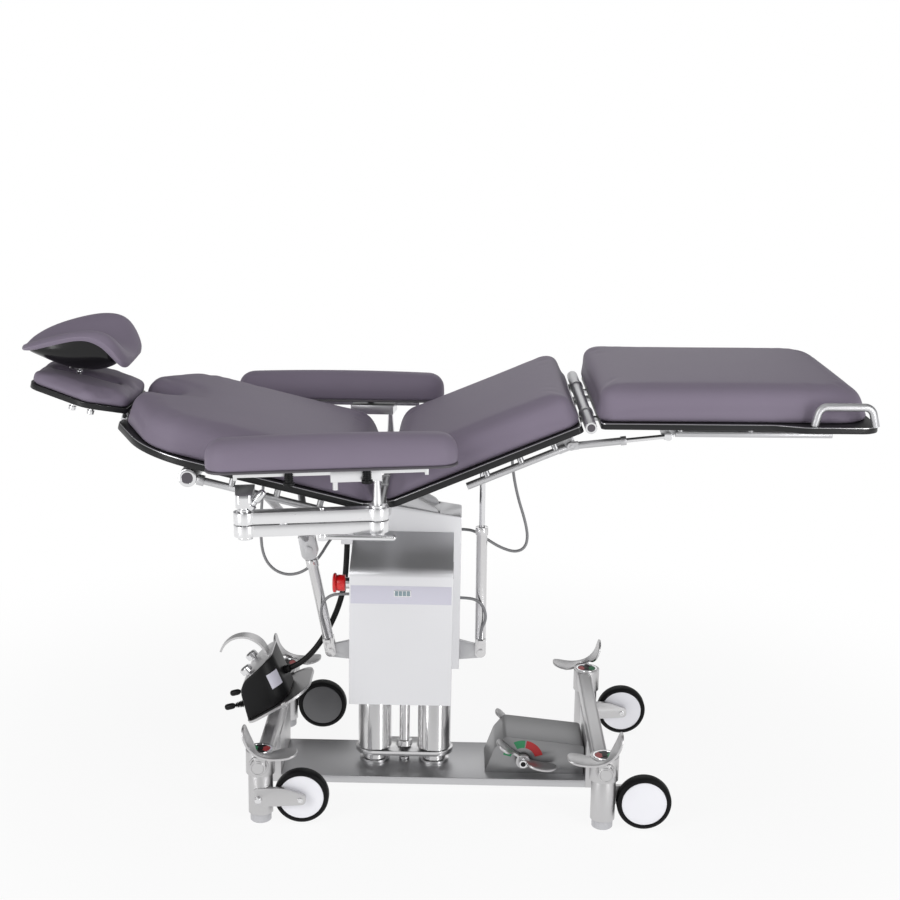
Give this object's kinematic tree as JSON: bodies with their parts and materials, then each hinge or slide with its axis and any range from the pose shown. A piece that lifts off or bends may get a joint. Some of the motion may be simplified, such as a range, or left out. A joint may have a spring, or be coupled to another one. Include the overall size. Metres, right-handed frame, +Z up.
{
  "type": "eye surgery table",
  "caption": "Mobile eye surgery table with tilting back, seat and leg sections, headrest, swivelling armrests, hydraulic lift column and braked castors.",
  "frame": {"origin": "on the floor, midway along and across the table", "axes": "+X from the head end to the foot end, +Y from the near side (cabinet cover) to the far side, +Z up"},
  "size_m": [1.8928, 0.8901, 1.097],
  "materials": {
    "leatherette": "matt leatherette, mauve grey",
    "board": "charcoal board with a polished upper edge",
    "satin_steel": "satin stainless steel",
    "chrome": "polished",
    "cabinet": "silver, satin",
    "black_plastic": "moulded",
    "knob": "moulded",
    "red": "gloss",
    "tyre": "black tyre round a pale disc",
    "foot_rubber": "grey",
    "line": "black",
    "hose": "grey",
    "inner": "dark"
  },
  "bodies": {
    "base": {"base_plate": "satin_steel", "end_frames": "satin_steel", "lift_columns": "chrome", "pedal_housing": "satin_steel", "control_housing": "black_plastic", "control_cable": "line"},
    "head_brake": {"head_brake_pedals": "satin_steel"},
    "foot_brake": {"foot_brake_pedals": "satin_steel"},
    "head_feet": {"head_floor_feet": "foot_rubber"},
    "foot_feet": {"foot_floor_feet": "foot_rubber"},
    "central_pedal": {"central_pedal": "satin_steel"},
    "joystick_near": {"joystick_near": "black_plastic"},
    "joystick_far": {"joystick_far": "black_plastic"},
    "knob_near": {"knob_near": "knob"},
    "knob_far": {"knob_far": "knob"},
    "carriage": {"lift_outer_tubes": "satin_steel", "front_cover": "cabinet", "rear_housing": "cabinet", "carriage_frame": "satin_steel", "hydraulic_unit": "inner", "hydraulic_hoses": "hose"},
    "emergency_stop": {"emergency_stop": "red"},
    "back_barrel": {"back_barrel": "satin_steel"},
    "back_rod": {"back_rod": "chrome"},
    "seat_barrel": {"seat_barrel": "satin_steel"},
    "seat_rod": {"seat_rod": "chrome"},
    "leg_barrels": {"leg_barrels": "satin_steel"},
    "leg_rods": {"leg_rods": "chrome"},
    "seat": {"seat_plate": "board", "seat_pad": "leatherette", "seat_fittings": "satin_steel"},
    "leg": {"leg_plate": "board", "leg_pad": "leatherette", "leg_fittings": "satin_steel"},
    "back": {"back_plate": "board", "back_pad": "leatherette", "back_fittings": "satin_steel"},
    "head": {"head_plate": "board", "head_pad": "leatherette"},
    "headrest_slider": {"headrest_stem": "chrome"},
    "headrest": {"headrest_shell": "black_plastic", "headrest_pad": "leatherette"},
    "castor_head_near": {"castor_swivel_head_near": "satin_steel"},
    "wheel_head_near": {"castor_wheel_head_near": "tyre"},
    "castor_head_far": {"castor_swivel_head_far": "satin_steel"},
    "wheel_head_far": {"castor_wheel_head_far": "tyre"},
    "castor_foot_near": {"castor_swivel_foot_near": "satin_steel"},
    "wheel_foot_near": {"castor_wheel_foot_near": "tyre"},
    "castor_foot_far": {"castor_swivel_foot_far": "satin_steel"},
    "wheel_foot_far": {"castor_wheel_foot_far": "tyre"},
    "arm_near": {"arm_plates_near": "satin_steel"},
    "lever_near": {"clamp_lever_near": "chrome"},
    "armrest_post_near": {"arm_post_near": "chrome"},
    "armrest_near": {"armrest_rail_near": "satin_steel", "armrest_pad_near": "leatherette"},
    "arm_far": {"arm_plates_far": "satin_steel"},
    "lever_far": {"clamp_lever_far": "chrome"},
    "armrest_post_far": {"arm_post_far": "chrome"},
    "armrest_far": {"armrest_rail_far": "satin_steel", "armrest_pad_far": "leatherette"}
  },
  "joints": [
    {"name": "lift", "type": "slide", "parent": "base", "child": "carriage", "axis": [0, 0, 1], "range_m": [0, 0.3], "deforming": ["control_cable"]},
    {"name": "back_tilt", "type": "hinge", "parent": "carriage", "child": "back", "pos_m": [-0.118, 0, 0.721], "axis": [0, 1, 0], "range_deg": [0, 30], "deforming": ["hydraulic_hoses"]},
    {"name": "seat_tilt", "type": "hinge", "parent": "carriage", "child": "seat", "pos_m": [-0.118, 0, 0.721], "axis": [0, 1, 0], "range_deg": [0, 20], "deforming": ["hydraulic_hoses"]},
    {"name": "leg_tilt", "type": "hinge", "parent": "seat", "child": "leg", "pos_m": [0.33239, 0, 0.93675], "axis": [0, 1, 0], "range_deg": [0, 50]},
    {"name": "head_tilt", "type": "hinge", "parent": "back", "child": "head", "pos_m": [-0.70905, 0, 0.89866], "axis": [0, 1, 0], "range_deg": [-25, 15]},
    {"name": "headrest_slide", "type": "slide", "parent": "head", "child": "headrest_slider", "axis": [-0.9736, 0, 0.2284], "range_m": [-0.06, 0.03]},
    {"name": "headrest_tilt", "type": "hinge", "parent": "headrest_slider", "child": "headrest", "pos_m": [-0.83227, 0, 0.982], "axis": [0, 1, 0], "range_deg": [-12, 12]},
    {"name": "back_cylinder_swing", "type": "hinge", "parent": "carriage", "child": "back_barrel", "pos_m": [-0.248, 0, 0.311], "axis": [0, 1, 0], "range_deg": [-4.6, 0]},
    {"name": "back_cylinder_stroke", "type": "slide", "parent": "back_barrel", "child": "back_rod", "axis": [-0.1998, 0, 0.9798], "range_m": [0, 0.1225]},
    {"name": "seat_cylinder_swing", "type": "hinge", "parent": "carriage", "child": "seat_barrel", "pos_m": [0.112, 0, 0.316], "axis": [0, 1, 0], "range_deg": [0, 1.7]},
    {"name": "seat_cylinder_stroke", "type": "slide", "parent": "seat_barrel", "child": "seat_rod", "axis": [-0.0084, 0, 1], "range_m": [-0.083, 0]},
    {"name": "leg_cylinder_swing", "type": "hinge", "parent": "seat", "child": "leg_barrels", "pos_m": [0.295, 0, 0.883], "axis": [0, 1, 0], "range_deg": [0, 45]},
    {"name": "leg_cylinder_stroke", "type": "slide", "parent": "leg_barrels", "child": "leg_rods", "axis": [0.9924, 0, 0.1229], "range_m": [-0.053, 0]},
    {"name": "head_brake_rock", "type": "hinge", "parent": "base", "child": "head_brake", "pos_m": [-0.385, 0, 0.148], "axis": [0, -1, 0], "range_deg": [0, 60]},
    {"name": "head_feet_lift", "type": "slide", "parent": "base", "child": "head_feet", "axis": [0, 0, 1], "range_m": [0, 0.0092]},
    {"name": "foot_brake_rock", "type": "hinge", "parent": "base", "child": "foot_brake", "pos_m": [0.394, 0, 0.148], "axis": [0, 1, 0], "range_deg": [0, 60]},
    {"name": "foot_feet_lift", "type": "slide", "parent": "base", "child": "foot_feet", "axis": [0, 0, 1], "range_m": [0, 0.0092]},
    {"name": "castor_swivel_head_near", "type": "hinge", "parent": "base", "child": "castor_head_near", "pos_m": [-0.385, -0.275, 0.1], "axis": [0, 0, 1], "continuous": true},
    {"name": "wheel_spin_head_near", "type": "hinge", "parent": "castor_head_near", "child": "wheel_head_near", "pos_m": [-0.292, -0.275, 0.0625], "axis": [0, 1, 0], "continuous": true},
    {"name": "castor_swivel_head_far", "type": "hinge", "parent": "base", "child": "castor_head_far", "pos_m": [-0.385, 0.275, 0.1], "axis": [0, 0, 1], "continuous": true},
    {"name": "wheel_spin_head_far", "type": "hinge", "parent": "castor_head_far", "child": "wheel_head_far", "pos_m": [-0.292, 0.275, 0.0625], "axis": [0, 1, 0], "continuous": true},
    {"name": "castor_swivel_foot_near", "type": "hinge", "parent": "base", "child": "castor_foot_near", "pos_m": [0.394, -0.275, 0.1], "axis": [0, 0, 1], "continuous": true},
    {"name": "wheel_spin_foot_near", "type": "hinge", "parent": "castor_foot_near", "child": "wheel_foot_near", "pos_m": [0.487, -0.275, 0.0625], "axis": [0, 1, 0], "continuous": true},
    {"name": "castor_swivel_foot_far", "type": "hinge", "parent": "base", "child": "castor_foot_far", "pos_m": [0.394, 0.275, 0.1], "axis": [0, 0, 1], "continuous": true},
    {"name": "wheel_spin_foot_far", "type": "hinge", "parent": "castor_foot_far", "child": "wheel_foot_far", "pos_m": [0.487, 0.275, 0.0625], "axis": [0, 1, 0], "continuous": true},
    {"name": "central_pedal_rock", "type": "hinge", "parent": "base", "child": "central_pedal", "pos_m": [0.219, 0, 0.068], "axis": [0, -1, 0], "range_deg": [0, 50]},
    {"name": "joystick_tilt_near", "type": "hinge", "parent": "base", "child": "joystick_near", "pos_m": [-0.45307, -0.045, 0.18742], "axis": [0, 1, 0], "range_deg": [-14, 14], "stiffness_Nm_per_rad": 0.4},
    {"name": "joystick_tilt_far", "type": "hinge", "parent": "base", "child": "joystick_far", "pos_m": [-0.45307, 0.045, 0.18742], "axis": [0, 1, 0], "range_deg": [-14, 14], "stiffness_Nm_per_rad": 0.4},
    {"name": "knob_push_near", "type": "slide", "parent": "base", "child": "knob_near", "axis": [0.6842, 0, -0.7293], "range_m": [0, 0.004], "stiffness_N_per_m": 900},
    {"name": "knob_push_far", "type": "slide", "parent": "base", "child": "knob_far", "axis": [0.6842, 0, -0.7293], "range_m": [0, 0.004], "stiffness_N_per_m": 900},
    {"name": "emergency_stop_push", "type": "slide", "parent": "carriage", "child": "emergency_stop", "axis": [1, 0, 0], "range_m": [0, 0.005], "stiffness_N_per_m": 2000},
    {"name": "arm_swing_near", "type": "hinge", "parent": "back", "child": "arm_near", "pos_m": [-0.404, -0.352, 0.749], "axis": [0.0262, 0, -0.9997], "range_deg": [0, 38]},
    {"name": "clamp_lever_swing_near", "type": "hinge", "parent": "arm_near", "child": "lever_near", "pos_m": [-0.23999, -0.33447, 0.7533], "axis": [0.0262, 0, -0.9997], "range_deg": [0, 40]},
    {"name": "armrest_swivel_near", "type": "hinge", "parent": "arm_near", "child": "armrest_post_near", "pos_m": [-0.1217, -0.32182, 0.75639], "axis": [-0.0262, 0, 0.9997], "range_deg": [-5, 2]},
    {"name": "armrest_slide_near", "type": "slide", "parent": "armrest_post_near", "child": "armrest_near", "axis": [0.994, 0.1063, 0.026], "range_m": [-0.06, 0.04]},
    {"name": "arm_swing_far", "type": "hinge", "parent": "back", "child": "arm_far", "pos_m": [-0.404, 0.348, 0.749], "axis": [-0.0262, 0, 0.9997], "range_deg": [0, 38]},
    {"name": "clamp_lever_swing_far", "type": "hinge", "parent": "arm_far", "child": "lever_far", "pos_m": [-0.23999, 0.33047, 0.7533], "axis": [-0.0262, 0, 0.9997], "range_deg": [0, 40]},
    {"name": "armrest_swivel_far", "type": "hinge", "parent": "arm_far", "child": "armrest_post_far", "pos_m": [-0.1217, 0.31782, 0.75639], "axis": [0.0262, 0, -0.9997], "range_deg": [-5, 2]},
    {"name": "armrest_slide_far", "type": "slide", "parent": "armrest_post_far", "child": "armrest_far", "axis": [0.994, -0.1063, 0.026], "range_m": [-0.05, 0.06]}
  ],
  "couplings": [
    {"joint": "back_cylinder_swing", "follows": "back_tilt", "ratio": -0.1487},
    {"joint": "back_cylinder_stroke", "follows": "back_tilt", "m_per_rad": 0.2317},
    {"joint": "seat_cylinder_swing", "follows": "seat_tilt", "ratio": 0.0795},
    {"joint": "seat_cylinder_stroke", "follows": "seat_tilt", "m_per_rad": -0.2341},
    {"joint": "leg_cylinder_swing", "follows": "leg_tilt", "ratio": 0.885},
    {"joint": "leg_cylinder_stroke", "follows": "leg_tilt", "m_per_rad": -0.0598},
    {"joint": "head_feet_lift", "follows": "head_brake_rock", "m_per_rad": 0.008594},
    {"joint": "foot_feet_lift", "follows": "foot_brake_rock", "m_per_rad": 0.008594}
  ]
}
